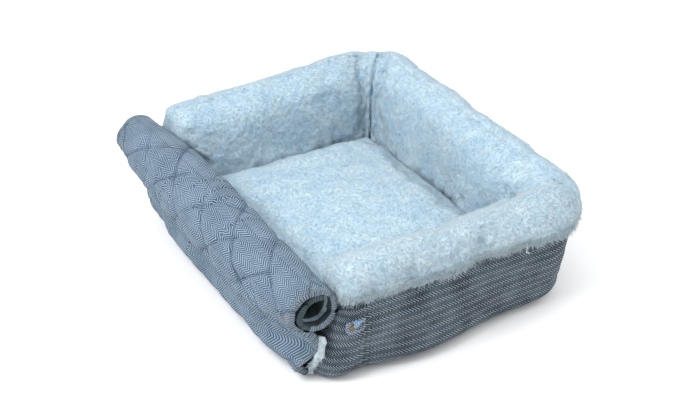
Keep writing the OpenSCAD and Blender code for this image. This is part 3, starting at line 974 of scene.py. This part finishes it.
joint_at = {j["name"]: j for j in frame["joints"]}
BEND_NAMES = sorted(n for n in joint_at if n.startswith("flap_bend_"))
PANELS = len(BEND_NAMES) + 1
FLAP_LOW, FLAP_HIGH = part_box("flap_denim_01")
NEAR_Y, FAR_Y = FLAP_LOW.y, FLAP_HIGH.y
FLAP_T = 0.006
APRON_LEN = 0.072
FOLD = 20.0            # degrees that the flap leans out where it leaves the apron
INNER_TURN = 6         # the stretches after this one lie inside the roll
BINDING = 0.009        # width of the denim binding along the flap's two side edges
NEAR_DRAW = 0.034      # how far the sewn edge's corners are drawn in along the bed
FAR_DRAW = 0.072
SIDE_PULL = 0.030      # how far the side edges are drawn in towards the bed
APRON_SAG = 0.010      # how far the apron hangs out at its ends
APRON_BOW = 0.013      # how much further it hangs out half way along
TUCK_IN = 0.011        # how far the apron folds in at its top, under the roll's near end
BULGE = 0.008          # how far it bulges below that
SLACK = 0.0075         # depth of its slack folds
WAVES, FINE_WAVES = 0.0030, 0.0016     # looseness of the cloth, broad and fine
PUCKER = 0.0034        # puckers along the quilting stitches
SQUEEZE = 0.0050       # depth of the sharp creases in the roll
# How far the layers' outer and inner faces are from the middle line.
DENIM_FACES, PLUSH_FACES = (0.0044, 0.0010), (0.0006, -0.0040)
BINDING_FACES, SHADE_FACING_FACES = (0.0056, -0.0050), (-0.0038, -0.0054)


def direction(degrees):
    return heading(np.radians(degrees))


def outward(degrees):
    """Towards the denim side of a panel that runs in this direction."""
    along = direction(degrees)
    return np.stack([-along[..., 1], along[..., 0]], -1)


def flap_lines():
    """Middle lines of the apron and the panels at rest: starts, directions in degrees, lengths."""
    places = [np.array(joint_at[name]["pos_m"])[[0, 2]] for name in ["flap_root"] + BEND_NAMES]
    fold, pivots = places[0], places[1:]
    first = pivots[0] - fold
    length = math.sqrt(float(first @ first) - FLAP_T ** 2)
    angle = math.degrees(math.atan2(first[1], first[0]) + math.atan2(FLAP_T, length))
    apron = angle - FOLD
    apron_start = fold - FLAP_T * outward(apron) - APRON_LEN * direction(apron)
    starts = [apron_start, fold - FLAP_T * outward(angle)] + pivots
    angles, lengths = [apron, angle], [APRON_LEN, length]
    for name in BEND_NAMES:
        angles.append(angles[-1] - joint_at[name]["range_deg"][1])
    for start, end in zip(pivots, pivots[1:]):
        lengths.append(float(np.linalg.norm(end - start)))
    # The panels shorten evenly towards the free end, and so does the last one.
    lengths.append(2 * lengths[-1] - lengths[-2])
    angles, lengths = np.array(angles), np.array(lengths)
    return np.array(starts) + outward(angles) * FLAP_T / 2, angles, lengths


STARTS, ANGLES, LENGTHS = flap_lines()
DIRS = direction(ANGLES)
MIDS = STARTS + DIRS * (LENGTHS / 2)[:, None]
ENDS = np.concatenate([[0], np.cumsum(LENGTHS)])
ROLL_CENTRE = MIDS[2:].mean(0)


def flap_stretch(k, count):
    """Centre line of stretch k with its direction and the distance along the flat cloth.

    Stretch 0 runs from the sewn edge to the apron's middle, stretch k from the middle of line
    k - 1 to the middle of line k, and the last one from the last panel's middle to its end."""
    t = np.linspace(0, 1, count)[:, None]
    last = len(LENGTHS)
    if k in (0, last):
        i = 0 if k == 0 else last - 1
        p0 = STARTS[0] if k == 0 else MIDS[i]
        way = np.tile(DIRS[i], (count, 1))
        flat = (0 if k == 0 else ENDS[i] + LENGTHS[i] / 2) + t[:, 0] * LENGTHS[i] / 2
        return p0 + way * t * LENGTHS[i] / 2, way, flat
    turn = math.radians(abs(ANGLES[k] - ANGLES[k - 1]))
    share = 4 / 3 * math.tan(turn / 4) / math.tan(turn / 2)
    p0, p3 = MIDS[k - 1], MIDS[k]
    p1 = p0 + DIRS[k - 1] * share * LENGTHS[k - 1] / 2
    p2 = p3 - DIRS[k] * share * LENGTHS[k] / 2
    point = (1 - t) ** 3 * p0 + 3 * (1 - t) ** 2 * t * p1 + 3 * (1 - t) * t ** 2 * p2 + t ** 3 * p3
    way = 3 * (1 - t) ** 2 * (p1 - p0) + 6 * (1 - t) * t * (p2 - p1) + 3 * t ** 2 * (p3 - p2)
    flat = ENDS[k - 1] + LENGTHS[k - 1] / 2 + t[:, 0] * (LENGTHS[k - 1] + LENGTHS[k]) / 2
    return point, unit(way), flat


def roll_size(y):
    """How large the roll is along its length: tight at the near end, rounded off at the far one."""
    t = (y - NEAR_Y) / (FAR_Y - NEAR_Y)
    size = 0.80 + 0.19 * smooth(t, 0.0, 0.30) + 0.03 * smooth(t, 0.3, 0.6)
    return size - 0.10 * smooth(t, 0.62, 0.92) - 0.20 * smooth(t, 0.88, 1.0)


def roll_shift(y):
    """How the roll's middle wanders: in towards the wall at the near end, out at the far end."""
    t = (y - NEAR_Y) / (FAR_Y - NEAR_Y)
    near, far = 1 - smooth(t, 0.0, 0.35), smooth(t, 0.55, 1.0)
    return np.stack([0.009 * near - 0.009 * far, 0.005 * far], -1)


QUILT = 0.070          # spacing of the quilting stitches, both ways across the cloth
STITCH = 0.0050        # how far from a stitch its pull fades
DENIM_PUFF = 0.0050    # how far the quilting puffs out on the denim side
PLUSH_PUFF = 0.0020


def quilting(flat, y):
    """0 on the stitched diamonds' lines, 1 in the middle of the puffs."""
    a = (flat + y * 0.9) / math.sqrt(2) / QUILT
    b = (flat - y * 0.9) / math.sqrt(2) / QUILT
    da, db = np.abs(a - np.round(a)) * QUILT, np.abs(b - np.round(b)) * QUILT
    # The thread pulls harder in some places than in others.
    spread = points(flat, y, 0)
    pull = 0.50 + 0.50 * smooth(noise(spread, 0.060, 76), -0.5, 0.6)
    return 1 - pull * (1 - (1 - np.exp(-da / STITCH)) * (1 - np.exp(-db / STITCH)))


def flap_sheet(k, count, ys, outer_offset, inner_offset):
    """Outer and inner grids of stretch k over the rows ys, and the cloth places."""
    point, way, flat = flap_stretch(k, count)
    out = np.stack([-way[:, 1], way[:, 0]], 1)
    in_roll = smooth(flat, ENDS[1] - 0.030, ENDS[1] + 0.075)
    u = np.repeat(flat[:, None], len(ys), 1)
    y = np.repeat(ys[None, :], count, 0)
    # The sewn edge is shorter than the flap is wide: its corners follow the base's.
    drawn = 1 - smooth(u, 0.0, 0.085)
    drawn_far = FAR_DRAW * (1 - smooth(FAR_Y - y, 0, 0.19))
    y = y + drawn * (NEAR_DRAW * (1 - smooth(y - NEAR_Y, 0, 0.14)) - drawn_far)
    factor = 1 + (roll_size(ys)[None, :] - 1) * in_roll[:, None]
    base = ROLL_CENTRE + (point[:, None, :] - ROLL_CENTRE) * factor[..., None]
    base = base + roll_shift(ys)[None] * in_roll[:, None, None]
    # Its side edges are drawn in towards the bed's corners.
    side_pull = 1 - smooth(ys - NEAR_Y, 0, 0.11) + 0.6 * (1 - smooth(FAR_Y - ys, 0, 0.16))
    pull_in = smooth(flat, 0.008, 0.070) * (1 - smooth(flat, 0.090, 0.150))
    base[..., 0] += SIDE_PULL * (pull_in[:, None] * side_pull[None, :])
    # The sewn edge runs down to the seam under the bed.
    sewn = 1 - smooth(flat, 0, 0.020)
    base = base + sewn[:, None, None] * np.array([0.0015, -0.0055])
    puff = quilting(u, y)
    spread = points(u, y, 0)
    thin = np.clip(factor, 0.62, 1.0)
    loose = smooth(u, 0.004, 0.03) * WAVES * noise(spread, 0.085, 72)
    loose = loose + FINE_WAVES * smooth(u, 0.004, 0.03) * noise(spread * [1.5, 0.8, 1], 0.034, 74)
    pucker = PUCKER * noise(spread * [1.3, 1.6, 1], 0.017, 71) * (1 - puff)
    # A few sharp creases where the roll has been squeezed.
    squeezed = np.abs(noise(spread * [0.55, 1.5, 1], 0.050, 77))
    pucker = pucker - SQUEEZE * bump(squeezed, 0.07) * smooth(noise(spread, 0.12, 78), 0.05, 0.5)
    # Slack folds in the apron towards the near end, where the roll's weight rests on it.
    slack = smooth(ENDS[1] + 0.01 - u, 0, 0.05) * smooth(u, 0.005, 0.03)
    slack = slack * (SLACK * np.abs(noise(spread * [1.1, 0.55, 1], 0.045, 75)))
    # Under the near end of the roll the apron folds in at its top and bulges below.
    under_roll = 1 - smooth(y - NEAR_Y, 0.05, 0.15)
    slack = slack - TUCK_IN * bump(u - ENDS[1] + 0.014, 0.009) * under_roll
    slack = slack + BULGE * bump(u - 0.034, 0.016) * under_roll
    # Half way along the bed the apron hangs out furthest.
    along = np.clip((y - NEAR_Y) / (FAR_Y - NEAR_Y), 0, 1)
    sag = (APRON_SAG + APRON_BOW * np.sin(math.pi * along)) * np.sin(np.clip(u / ENDS[1], 0, 1) * math.pi)
    sag = sag * (1 - smooth(u, ENDS[1], ENDS[1] + 0.01))
    grids = []
    for offset, swell, sign in ((outer_offset, DENIM_PUFF, 1), (inner_offset, PLUSH_PUFF, -1)):
        amount = offset * thin + sign * swell * (puff - 0.6) * thin + loose + pucker + slack + sag
        place = base + out[:, None, :] * amount[..., None]
        grids.append(points(place[..., 0], y, np.maximum(place[..., 1], REST_Z)))
    weave = points(y, u, puff)
    return grids[0], grids[1], weave


def hang(piece, k):
    """Attaches the first and the last stretch to their one body; any other stretch only has its transform
    baked in.
    """
    names = ["bed"] + ["flap_%02d" % (i + 1) for i in range(PANELS)]
    if k in (0, len(LENGTHS)):
        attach(piece, names[min(k, PANELS)])
        return
    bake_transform(piece)


def build_flap():
    """Denim and plush layers of the flap with their edge bindings, a stretch per hinge."""
    middle = np.linspace(NEAR_Y + BINDING * 0.8, FAR_Y - BINDING * 0.8, 190)
    near = np.linspace(NEAR_Y, NEAR_Y + BINDING, 8)
    far = np.linspace(FAR_Y - BINDING, FAR_Y, 8)
    full = np.linspace(NEAR_Y + 0.002, FAR_Y - 0.002, 200)
    # The two facings lay dark denim over the plush just inside the roll's near end: painted shade for the
    # roll's hollow.
    facing = np.linspace(NEAR_Y + 0.001, NEAR_Y + 0.014, 8)
    deep = np.linspace(NEAR_Y + 0.024, NEAR_Y + 0.070, 14)
    layers = (("denim", full, DENIM_FACES, DENIM_FLAP), ("plush", middle, PLUSH_FACES, PLUSH),
              ("near_binding", near, BINDING_FACES, DENIM_EDGE),
              ("far_binding", far, BINDING_FACES, DENIM_EDGE),
              ("near_shade_facing", facing, SHADE_FACING_FACES, DENIM_PAINTED_SHADE),
              ("deep_shade_facing", deep, SHADE_FACING_FACES, DENIM_PAINTED_SHADE))
    for k in range(PANELS + 2):
        count = 12 if k in (0, PANELS + 1) else 20
        for layer, ys, faces, mat in layers:
            # Inside the roll the bindings take the darker denim: painted shade.
            if mat is DENIM_EDGE and k > INNER_TURN:
                mat = DENIM_PAINTED_SHADE
            outer, inner, weave = flap_sheet(k, count, ys, *faces)
            piece = slab("flap_%s_stretch_%02d" % (layer, k), outer, inner, mat, weave)
            hang(piece, k)
            if layer in ("denim", "plush"):
                node = "apron_" + layer if k == 0 else "flap_%s_%02d" % (layer, min(k, PANELS))
                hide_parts(node)


def build_end_binding():
    """Folded denim over the flap's free end, deep inside the roll."""
    ys = np.linspace(NEAR_Y + 0.001, FAR_Y - 0.001, 150)
    outer, inner, weave = flap_sheet(PANELS + 1, 12, ys, 0.0054, -0.0050)
    piece = slab("flap_end_fold", outer[8:], inner[8:], DENIM_FLAP, weave[8:])
    settle(piece, "flap_%02d" % PANELS, "denim", "flap_end_binding")


build_flap()
build_end_binding()

# ---------------- press studs and tabs


TAB_T = 0.0022         # thickness of a tab
HEM = 0.0007           # height of its hem
TAB_STAND = 0.0022     # how far its lower edge stands off the wall
FOLD_T = 0.0011        # thickness of the corner that is turned down
FOLD_DROP = 0.0115     # how far that corner hangs down


def build_tab(side):
    """Soft denim tab that holds the wall's press stud: a rounded patch, and on the front wall its top
    folded over.
    """
    low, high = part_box(side + "_tab")
    sign = SIGN[side]
    nu, nv = 40, 44
    u, v = sweeps(np.linspace(-1, 1, nu), np.linspace(-1, 1, nv))
    mid_x, mid_z, mid_y = (low.x + high.x) / 2, (low.z + high.z) / 2, (low.y + high.y) / 2
    half_x, half_z = (high.x - low.x) / 2, (high.z - low.z) / 2
    # Square above, rounded below.
    x = mid_x + half_x * u * np.sqrt(1 - 0.42 * np.clip(-v, 0, 1) ** 2)
    z = mid_z + half_z * (v * np.sqrt(1 - 0.38 * u ** 2 * (v < 0)))
    lean = (high.y - low.y - 0.0024) / (high.z - low.z)
    tilt = lean * (z - mid_z)
    edge = np.minimum(1 - np.abs(u), 1 - np.abs(v))
    hem = HEM * smooth(0.20 - edge, 0, 0.08) - 0.0004 * bump(edge - 0.22, 0.03)
    creased = 0.0011 * noise(points(x, z, 0), 0.010, 81)
    # The lower edge stands off the wall and the middle is drawn in by the stud.
    stand = TAB_STAND * smooth(-v, 0.3, 1.0) - 0.0010 * bump(u, 0.3) * bump(v, 0.3)
    front = mid_y + sign * (0.0014 + hem + creased + stand + tilt)
    rear = front - sign * TAB_T
    outer, inner = points(x, front, z), points(x, rear, z)
    weave = points(z, x, 1)
    piece = slab(side + "_denim_tab", outer, inner, DENIM_TAB, weave)
    settle(piece, side + "_tab", "denim", side + "_tab")
    if side == "back":
        return
    # The fold: a corner of the tab turned down over the stud, showing its paler back.
    a, b = sweeps(np.linspace(0, 1, 30), np.linspace(0, 1, 16))
    fx = mid_x + half_x * (-0.40 + 0.95 * a)
    drop = FOLD_DROP * (1 - 0.55 * np.abs(2 * a - 0.7)) * b
    fz = mid_z + half_z * (1.04 - 0.22 * a) - drop + 0.002 * np.sin(b * math.pi)
    roll = 0.0050 * np.sin(np.clip(b, 0, 0.85) / 0.85 * math.pi) + 0.0042 * b
    # It lies flatter towards the tab's sewn end, so that the tab can fold right out.
    roll = 0.0030 + roll * (1 - 0.6 * smooth(a, 0.3, 1.0))
    fy = mid_y + sign * (roll + lean * (fz - mid_z))
    face = points(fx, fy, fz)
    back = face + points(0, a * 0 - sign * FOLD_T, a * 0 - 0.0004)
    fold = slab(side + "_tab_fold", face, back, DENIM_PALE, points(fx, fz, 1))
    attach(fold, side + "_tab")


def lathe(name, profile, centre, axis, material):
    """Closed round piece: profile is (radius, height) pairs, from the axis back to the axis."""
    axis = Vector(axis).normalized()
    turn = axis.to_track_quat("Z", "Y").to_matrix()
    around = 36
    rings = []
    for radius, height in profile:
        for k in range(around):
            a = 2 * math.pi * k / around
            r = max(radius, 1e-5)
            rings.append(Vector(centre) + turn @ Vector((r * math.cos(a), r * math.sin(a), height)))
    grid = np.array(rings).reshape(len(profile), around, 3)
    return tube(name, grid, material)


SNAP_CAP = ((0.0, -0.0016), (0.0050, -0.0016), (0.0062, -0.0006), (0.0063, 0.0006), (0.0058, 0.0013),
            (0.0048, 0.0016), (0.0041, 0.0012), (0.0033, 0.0014), (0.0018, 0.0021), (0.0, 0.0023))


def build_flap_snap(side, y_place):
    """Press stud cap pressed into the flap's denim, on the outer side of the second panel."""
    ys = np.array([y_place - 0.004, y_place, y_place + 0.004])
    outer = flap_sheet(2, 21, ys, *DENIM_FACES)[0]
    centre = outer[12, 1]
    across, along = outer[14, 1] - outer[10, 1], outer[12, 2] - outer[12, 0]
    axis = np.cross(along, across)
    axis = axis * (1.0 if axis[0] < 0 else -1.0)
    piece = lathe("flap_%s_snap_cap" % side, SNAP_CAP, centre, axis, COPPER)
    settle(piece, "flap_02", "copper_snap", "flap_%s_snap" % side)


def finish_nodes(material, *names):
    """Gives CAD nodes that stay visible their material."""
    for name in names:
        obj = frame["nodes"][name]
        obj.data.materials.clear()
        obj.data.materials.append(material)


build_tab("front")
build_tab("back")
for side in ("front", "back"):
    low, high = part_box("flap_%s_snap" % side)
    build_flap_snap(side, (low.y + high.y) / 2)
finish_nodes(COPPER, "front_snap_cap", "back_snap_cap", "front_stud", "back_stud")

# ---------------- lining edge and thread


LINING_TUFTS, LINING_PILE = 420, 0.0070     # locks along the lining, and their length
LINING_X, LINING_Y = -0.2375, 0.3050       # where its top is
LINING_TOP, LINING_DROP = 0.094, 0.086     # height of its top, and how far it runs down
THREAD_R = 0.0006
THREAD_AT = 0.188      # share of the way round the walls where the loose thread hangs


def build_lining_edge(side):
    """Edge of the flap's plush lining, showing between the apron and the denim corner."""
    sign = SIGN[side]
    rows, cols = 40, 12
    t, w = sweeps(np.linspace(0, 1, rows), np.linspace(-1, 1, cols))
    x = LINING_X - 0.0050 * smooth(t, 0.2, 0.8)
    y = sign * (LINING_Y - 0.0230 * smooth(t, 0.3, 1.0) - 0.004 * t)
    z = LINING_TOP - LINING_DROP * t
    half = 0.0058 + 0.0030 * noise(points(t * 0.1, 0, 0), 0.012, 91)
    spot = points(x - 0.62 * w * half, y - sign * 0.70 * w * half, z)
    out = unit(points(x * 0 - 0.70, x * 0 + sign * 0.70, 0))
    bulge = 0.0035 * np.sqrt(np.clip(1 - w ** 2, 0, 1)) + 0.0008 * noise(spot, 0.006, 92)
    outer = spot + out * (0.0010 + bulge)[..., None]
    # The lining's edge and its pile take the paler plush: painted light.
    piece = slab(side + "_lining_edge", outer, spot - out * 0.0012, LINING_PAINTED_LIGHT)
    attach(piece, "bed")
    shown = np.ones((rows, cols), bool)
    grow_pile(side + "_lining_pile", "bed", outer, out, shown, LINING_TUFTS, LINING_PILE, 400 + rows,
              1.30, LINING_PAINTED_LIGHT)


def build_thread():
    """A loose end of sewing thread that hangs over the seam of the front wall."""
    foot = denim_band[int(len(denim_band) * THREAD_AT), -1]
    t = np.linspace(0, 1, 40)
    x = foot[0] + 0.011 * t + 0.003 * np.sin(t * 7)
    y = foot[1] - 0.0045 - 0.0035 * np.sin(t * math.pi)
    z = foot[2] + 0.016 - 0.026 * t + 0.003 * np.sin(t * 9)
    path = points(x, y, z)
    way = unit(np.gradient(path, axis=0))
    side = unit(np.cross(way, [0, 0, 1.0]))
    up = np.cross(side, way)
    turn = np.linspace(0, 2 * math.pi, 8, endpoint=False)[None, :, None]
    rings = path[:, None] + THREAD_R * (side[:, None] * np.cos(turn) + up[:, None] * np.sin(turn))
    piece = tube("loose_thread", rings, THREAD)
    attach(piece, "bed")


build_lining_edge("front")
build_lining_edge("back")
build_thread()

# ---------------- studio


CAMERA_AT = (-1.011, -1.714, 1.338)
CAMERA_AZIMUTH, CAMERA_ELEVATION = -30.3, 32.3     # degrees that it looks from
LENS_MM, SENSOR_MM = 68.3, 36.0


def build_studio():
    """Pale floor and soft light."""
    mat, _, bsdf = new_material("studio_floor")
    set_inputs(bsdf, {"Base Color": (0.92, 0.92, 0.92, 1), "Roughness": 0.9})
    size = 8.0
    corners = points(*size * np.array([[-1, 1, 1, -1], [-1, -1, 1, 1]]), FLOOR_Z)
    floor = make_mesh("studio_floor", corners, [[0, 1, 2, 3]], mat)

    world = bpy.data.worlds.new("studio_world")
    bpy.context.scene.world = world
    world.use_nodes = True
    back = world.node_tree.nodes["Background"]
    set_inputs(back, {"Color": (0.970, 0.985, 1.0, 1), "Strength": 1.05})

    def area(name, place, target, power, width, colour=(1, 1, 1)):
        light = bpy.data.lights.new(name, "AREA")
        light.energy, light.size, light.color = power, width, colour
        obj = bpy.data.objects.new(name, light)
        obj.location = place
        obj.rotation_euler = (Vector(target) - Vector(place)).to_track_quat("-Z", "Y").to_euler()
        bpy.context.scene.collection.objects.link(obj)

    area("key_light", (-1.7, -0.2, 2.1), (0, 0, 0.1), 46, 1.2)
    area("top_light", (0.1, -0.1, 2.4), (0, 0, 0.1), 10, 1.8)
    area("fill_light", (1.8, -1.2, 1.9), (0, 0, 0.1), 12, 1.6, (1.0, 0.985, 0.96))


def build_camera():
    """Long lens, seen from the front left, a third of the way up."""
    azimuth, elevation = math.radians(CAMERA_AZIMUTH), math.radians(CAMERA_ELEVATION)
    back = Vector((math.sin(azimuth) * math.cos(elevation), -math.cos(azimuth) * math.cos(elevation),
                   math.sin(elevation)))
    cam = bpy.data.cameras.new("camera")
    cam.lens, cam.sensor_width = LENS_MM, SENSOR_MM
    obj = bpy.data.objects.new("camera", cam)
    obj.location = CAMERA_AT
    obj.rotation_mode = "QUATERNION"
    obj.rotation_quaternion = (-back).to_track_quat("-Z", "Y")
    bpy.context.scene.collection.objects.link(obj)
    bpy.context.scene.camera = obj


build_studio()
build_camera()
bpy.context.scene.view_settings.view_transform = "Standard"
